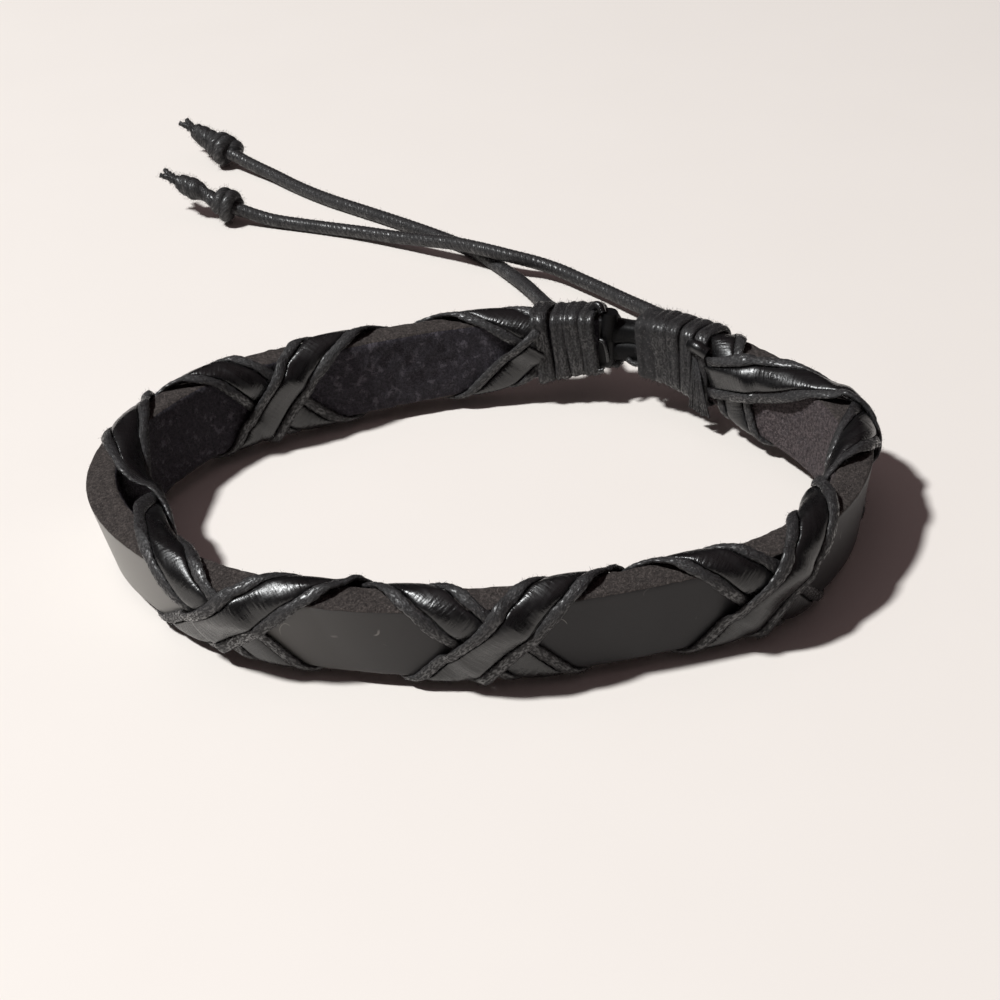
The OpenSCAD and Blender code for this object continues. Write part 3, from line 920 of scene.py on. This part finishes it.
def strand_rings(which, aside, outline, step):
    """Rings of a strand. outline gives each ring's points across and up, from its run."""
    s, u, across_s, across_u = centre_line(which)
    s, u = s + aside * across_s, u + aside * across_u
    keep = (s > STRANDS_FROM) & (s < RIGHT_AT)
    lines = [x[keep] for x in (s, u, across_s, across_u)]
    at, (s, u, across_s, across_u) = evenly(lines[0], lines[1], lines, step)
    across, up = outline(at)
    flat_s, flat_u = s + across * across_s, u + across * across_u
    near = from_under(flat_s, flat_u) if which == OVER else FAR
    lift = LIFT * eased((GROUP_HALF + SPARE + RAMP - near) / RAMP)
    pinch = eased(np.minimum(at, at[-1] - at) / PINCH_RUN)[:, None]
    rise = SINK + lift + stand_off(flat_s, flat_u) + bow(flat_u)
    height = rise + up * (PINCHED + (1 - PINCHED) * pinch)
    return on_leather(flat_s, flat_u, height), own_places(across, up, at[:, None])


print("heights ready")

# %% [markdown]
# The thongs are flat strips of polished leather that shine in broad soft patches. Fine
# creases run across them and break the shine up, and rubbed places are rougher. A dull
# kind serves for the closure and a cut tab.

# %% Finish the thongs
THONG_BLACKS = rgb(0.002, 0.002, 0.0023), rgb(0.006, 0.0058, 0.0062)


def thong_finish(name, shine, rough):
    f = Finish(name)
    own = f.attribute("own", "Vector")
    creases = f.noise((500, 500, 3800), 3.0, 0.6, own)
    pores = f.noise(9000, 2.0, 0.5)
    wear = f.noise((1500, 1500, 350), 3.0, 0.6, own)
    return f.done(
        Base_Color=f.blend(wear, *THONG_BLACKS),
        Roughness=rough + 0.15 * f.step(wear, 0.42, 0.75),
        Specular_IOR_Level=shine,
        Normal=f.bump(creases * 0.9 + pores * 0.15, 0.00013, 0.65),
    )


GLOSSY = thong_finish("glossy_thong", 0.72, 0.27)
DULL = thong_finish("dull_thong", 0.16, 0.5)
print("finishes:", GLOSSY.name, DULL.name)

# %% [markdown]
# Each strand is a skin through rings along its line. A cord is pressed to an oval with
# three shallow grooves that turn as it goes. A thong is a strip with an arched top. Both
# wander in width, because nothing wound by hand runs quite true.

# %% Build the strands
CORD_PITCH = 2.9


def clockwise(count):
    return -2 * math.pi * np.arange(count) / count


def squarish(x, power):
    """A sine or cosine pushed outwards, which squares a round section."""
    return np.sign(x) * np.abs(x) ** power


def wandering(at, seed, amount, length):
    """A slow random wander along a strand."""
    rng = np.random.default_rng(seed)
    knots = np.arange(0, at[-1] + 2 * length, length)
    return amount * np.interp(at, knots, rng.uniform(-1, 1, len(knots)))


def cord_outline(seed):
    def outline(at):
        angle = clockwise(16)
        twist = 2 * math.pi * at[:, None] / CORD_PITCH
        hollow = (0.5 + 0.5 * np.cos(3 * (angle - twist))) ** 3
        reach = 1 - 0.13 * hollow
        width = CORD_W * (1 + wandering(at, seed, 0.05, 3.0))[:, None]
        across = width / 2 * reach * np.cos(angle) + wandering(at, seed + 1, 0.05, 5.0)[:, None]
        up = CORD_T / 2 * (1 + reach * np.sin(angle))
        return across, up
    return outline


def thong_outline(seed):
    def outline(at):
        angle = clockwise(28)
        x, y = squarish(np.cos(angle), 0.55), squarish(np.sin(angle), 0.75)
        width = THONG_W * (1 + wandering(at, seed, 0.035, 5.0))[:, None]
        arch = 0.1 * (1 - x * x) * (y > 0)
        up = THONG_T / 2 * (1 + y) + arch
        return width / 2 * x, up + 0 * width
    return outline


STRANDS = {
    "under_thong": (UNDER, 0), "under_cord_front": (UNDER, -1), "under_cord_back": (UNDER, 1),
    "over_thong": (OVER, 0), "over_cord_front": (OVER, -1), "over_cord_back": (OVER, 1),
}
for number, (node, (which, side)) in enumerate(STRANDS.items()):
    thong = side == 0
    outline = thong_outline(40 + number) if thong else cord_outline(60 + 3 * number)
    rings, own = strand_rings(which, side * SPACING, outline, 0.3 if thong else 0.24)
    name, finish = (node + "_strip", GLOSSY) if thong else (node + "_laid", WAXED)
    piece = skin(name, rings, finish, own=own, fuzz=np.ones(rings.shape[:2]))
    if not thong:
        piece = with_fibres(piece, 3.6, 0.36, 80 + number, 0.010)
    dress(piece, node)
    count_faces(node, piece)

# %% [markdown]
# A binding is one cord wound side by side round the end of the strap. Its path is a helix
# over the leather with a little unevenness, because a hand pulls each turn differently.
# The ends dive under the neighbouring turn, as a whipped end is tucked in.

# %% Wind the bindings
TURN_WAVER, TURN_RISE = 0.2, 0.15
TUCK, TUCK_OVER = 0.7, 0.1


def wound_rings(s, u, height, outline, step):
    """Rings of a strip wound on the leather along the flat line s, u."""
    ds, du = np.gradient(s), np.gradient(u)
    size = np.hypot(ds, du)
    lines = (s, u, du / size, -ds / size, height)
    at, (s, u, across_s, across_u, height) = evenly(s, u, lines, step)
    across, up = outline(at)
    rings = on_leather(s + across * across_s, u + across * across_u, height + up)
    return rings, own_places(across, up, at[:, None])


def turn_outline(widths, seed):
    """A pressed cord of two yarns, whose width changes from turn to turn."""
    def outline(at):
        angle = clockwise(28)
        turn = at / GIRTH
        width = np.interp(turn, np.arange(len(widths)) + 0.2, widths)
        width = (width * (1 + wandering(at, seed, 0.08, 4.0)))[:, None]
        thick = BINDING_T * (1 + wandering(at, seed + 1, 0.12, 3.0))[:, None]
        x = squarish(np.cos(angle), 0.8)
        valley = 0.25 * np.sin(2 * math.pi * at / 17 + seed)[:, None]
        dent = 0.26 * np.exp(-((x - valley) / 0.2) ** 2) * (np.sin(angle) > 0)
        return width / 2 * x, thick / 2 * (1 + np.sin(angle)) * (1 - dent)
    return outline


def build_binding(name, node, start, widths, seed, fluffy, extras):
    """fluffy says how much more fuzz the last turn has, and extras are its loose ends."""
    turns = len(widths)
    turn = np.linspace(-0.04, turns + 0.02, 120 * turns)
    rng = np.random.default_rng(seed)
    marks = rng.uniform(-1, 1, 2 * turns + 3)
    waver = np.interp(turn, np.arange(-0.5, turns + 1, 0.5), marks)
    ease = np.minimum(turn - turn[0], turn[-1] - turn)
    u = HALF_GIRTH + GIRTH * turn
    lean = TURN_LEAN * np.cos(math.pi * u / HALF_GIRTH)
    s = start + TURN_PITCH * turn + TURN_WAVER * waver + lean
    height = 0.02 + TURN_RISE * (1 + waver) - TUCK * (1 - eased(ease / TUCK_OVER))
    rings, own = wound_rings(s, u, height, turn_outline(widths, seed), 0.24)
    part = own[..., 2] / own[..., 2].max() * turns
    fuzz = 1 + fluffy * eased((part - turns + 1.15) / 0.2)
    piece = skin(name, rings, WAXED, own=own, fuzz=fuzz)
    piece = joined(name, [with_fibres(piece, 6.0, 0.5, seed)] + extras)
    dress(piece, node)
    return piece


print("bindings ready")

# %% [markdown]
# Short ends stick out of both bindings. On the left there are three curls and a cut tab of
# thong, and on the right a shiny bight and a fan of cut yarns beside a last turn that has
# gone fuzzy. Each is a short cord along rows beside the strap: run, outward and upward.


# %% Add the loose ends
def stray(name, rows, diameter, material=WAXED, sides=12):
    rows = np.array(rows, float)
    line = smooth_route(beside_strap(*rows.T), 0.12)
    pitch = 1.6 if material == WAXED else 12
    return laid_cord(name, line, diameter, 2, pitch, 0.12, sides, material=material)


def cut_fan(count, seed):
    """Fine cut yarns spread out from under the first turn of the right binding."""
    rng = np.random.default_rng(seed)
    ends = []
    for number in range(count):
        t = (number + rng.uniform(-0.3, 0.3)) / (count - 1)
        rows = [[218.9 - 0.6 * t, -2.35, 1.9 - 1.2 * t]]
        rows.append([218.6 - 1.4 * t, -2.75 - 0.2 * rng.random(), -1.2 - 0.4 * t])
        aside, fall = rng.uniform(-0.15, 0.15), rng.uniform(-0.5, 0.3)
        rows.append([218.7 - 2.6 * t + aside, -2.5, -5.2 + fall])
        ends.append(stray(f"cut_yarn{number}", rows, rng.uniform(0.24, 0.42), WAXED, 7))
    return ends


LEFT_WIDTHS = [1.6, 1.85, 1.6, 1.75]
RIGHT_WIDTHS = [1.6, 1.75, 1.6, 1.8, 2.5]
LEFT_STRAYS = [
    stray("top_curl", [[35.6, -0.6, 5.0], [35.2, -0.9, 5.8], [34.7, -1.2, 5.9],
                       [34.3, -1.5, 5.0]], 0.9, GLOSSY),
    stray("end_curl", [[34.4, -2.0, 0.9], [34.0, -2.15, 0.7], [33.7, -2.2, -0.4],
                       [33.5, -2.1, -2.4]], 0.55, GLOSSY),
    stray("low_curl", [[34.9, -2.0, -3.6], [34.4, -2.2, -3.9], [34.0, -2.1, -3.8]], 0.6, GLOSSY),
    stray("cut_tab", [[34.0, -0.8, 0.5], [33.8, -0.9, 3.0], [33.7, -1.0, 5.0]], 1.9, DULL),
]
RIGHT_STRAYS = cut_fan(15, 33) + [
    stray("shiny_bight", [[219.3, -2.3, 2.9], [218.3, -2.75, 3.2], [217.2, -2.4, 2.7]], 1.5,
          GLOSSY),
]
left_binding = build_binding(
    "left_winding", "left_binding", LEFT_AT, LEFT_WIDTHS, 31, 0.0, LEFT_STRAYS)
right_binding = build_binding(
    "right_winding", "right_binding", RIGHT_AT, RIGHT_WIDTHS, 32, 1.6, RIGHT_STRAYS)
count_faces("bindings:", left_binding, right_binding)

# %% [markdown]
# Between the strap's two ends the closure cords show, one above the other. They are short
# straight lengths of a thicker, duller cord, pressed until its section is nearly square.
# The grey cut end of a yarn lies over the lower one.

# %% Bridge the gap
LINK_N, LINK_W, LINK_LEVEL, LINK_TUCK = 1.3, 1.2, 0.96, 0.4


def build_closure(name, node, level, extras=()):
    s = np.linspace(STRAP_END - LOOP_LEN - LINK_TUCK, STRAP_START + LINK_TUCK, 30)[:, None]
    angle = clockwise(28)
    bulge = 1 + 0.05 * np.sin(1.7 * s + level)
    n = LINK_N * bulge * squarish(np.cos(angle), 0.7)
    w = LINK_W * bulge * squarish(np.sin(angle), 0.6)
    rings = beside_strap(s, n, (level * LINK_LEVEL + w) / (1 - END_TAPER))
    piece = skin(name, rings, DULL, own=own_places(n, w, s), fuzz=np.ones(n.shape))
    piece = with_fibres(piece, 1.0, 0.3, 35)
    if extras:
        piece = joined(name, [piece] + extras)
    dress(piece, node)
    return piece


GREY_END = stray("grey_end", [[28.9, -1.5, -2.0], [29.8, -1.7, -2.5], [30.8, -1.7, -2.7],
                              [31.6, -1.4, -2.3]], 0.6)
upper = build_closure("upper_link", "closure_cord_upper", 1)
lower = build_closure("lower_link", "closure_cord_lower", -1, [GREY_END])
count_faces("closure:", upper, lower)

# %% [markdown]
# The bracelet lies on a plain pale surface. One small strong lamp stands high on the left
# and a little in front, and throws the shadow to the right and inside the loop. A dim sky,
# darkest at the horizon and slightly red, keeps the shadows open and warm.

# %% Light the scene
FLOOR_TONES, HALF = (rgb(0.84, 0.79, 0.745), rgb(0.86, 0.81, 0.765)), 1.5
LAMP_AT, LAMP_AIM = Vector((-0.62, -0.14, 1.06)), Vector((0, 0.01, 0))
LAMP_SIZE, LAMP_POWER, LAMP_COLOUR = 0.12, 18.2, (0.985, 1.0, 1.0)
SKY_COLOUR, SKY_STRENGTH, HORIZON, OVERHEAD = rgb(1.0, 0.74, 0.76), 0.09, 0.08, 1.85

f = Finish("pale_floor")
tone = f.blend(f.noise(60, 3.0, 0.5), *FLOOR_TONES)
corners = [(-HALF, -HALF, 0), (HALF, -HALF, 0), (HALF, HALF, 0), (-HALF, HALF, 0)]
mesh = bpy.data.meshes.new("floor")
mesh.from_pydata(corners, [], [(0, 1, 2, 3)])
mesh.materials.append(f.done(Base_Color=tone, Roughness=0.6))
add_object("floor", mesh)

data = bpy.data.lights.new("key", "AREA")
data.shape, data.size, data.energy, data.color = "DISK", LAMP_SIZE, LAMP_POWER, LAMP_COLOUR
lamp = add_object("key", data)
lamp.location = LAMP_AT
lamp.rotation_euler = (LAMP_AIM - LAMP_AT).to_track_quat("-Z", "Y").to_euler()

world = bpy.data.worlds.new("sky")
world.use_nodes = True
w = Wiring(world.node_tree)
way = w.node("ShaderNodeTexCoord", out="Generated")
height = w.node("ShaderNodeSeparateXYZ", out="Z", Vector=way).math("MAXIMUM")
glow = SKY_STRENGTH * (HORIZON + OVERHEAD * height ** 2.0)
sky = w.node("ShaderNodeBackground", Color=SKY_COLOUR, Strength=glow)
w.node("ShaderNodeOutputWorld", Surface=sky)
bpy.context.scene.world = world
bpy.context.scene.view_settings.view_transform = "Standard"
